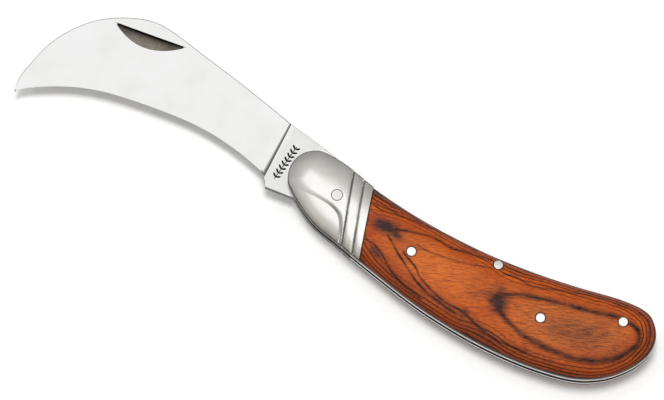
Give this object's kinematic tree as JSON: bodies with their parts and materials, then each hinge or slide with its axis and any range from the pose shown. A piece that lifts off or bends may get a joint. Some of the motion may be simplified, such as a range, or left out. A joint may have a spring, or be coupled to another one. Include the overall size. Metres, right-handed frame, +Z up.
{
  "type": "folding hook knife",
  "caption": "Folding pruning knife with a hooked steel blade, a back spring, steel bolsters and curved laminated-wood scales on steel liners.",
  "frame": {"origin": "middle of the bounding box's base, with the knife open and lying on its rear side", "axes": "+X from the blade's tip to the handle's butt, +Y from the belly to the back of the handle, +Z up out of the front side"},
  "size_m": [0.189, 0.0556, 0.014],
  "materials": {
    "blade_steel": "finely polished stainless steel",
    "spring_steel": "satin spring steel",
    "liner_steel": "satin stainless sheet",
    "bolster_steel": "soft polished stainless steel",
    "laminated_wood": "glossy lacquered laminated wood, orange brown with dark lines",
    "pin_steel": "polished steel pin"
  },
  "bodies": {
    "handle": {"front_liner": "liner_steel", "rear_liner": "liner_steel", "front_bolster": "bolster_steel", "rear_bolster": "bolster_steel", "front_scale": "laminated_wood", "rear_scale": "laminated_wood", "pivot_pin": "pin_steel", "spring_middle_pin": "pin_steel", "spring_end_pin": "pin_steel", "front_scale_pin_1": "pin_steel", "front_scale_pin_2": "pin_steel", "rear_scale_pin_1": "pin_steel", "rear_scale_pin_2": "pin_steel"},
    "blade": {"blade": "blade_steel"},
    "spring": {"back_spring": "spring_steel"}
  },
  "joints": [
    {"name": "blade_pivot", "type": "hinge", "parent": "handle", "child": "blade", "pos_m": [-0.00024, -0.00205, 0.007], "axis": [0, 0, 1], "range_deg": [0, 171], "deforming": ["back_spring"]},
    {"name": "spring_flex", "type": "hinge", "parent": "handle", "child": "spring", "pos_m": [0.04746, -0.00475, 0.007], "axis": [0, 0, -1], "range_deg": [0, 1.2], "stiffness_Nm_per_rad": 2, "deforming": ["back_spring"]}
  ]
}
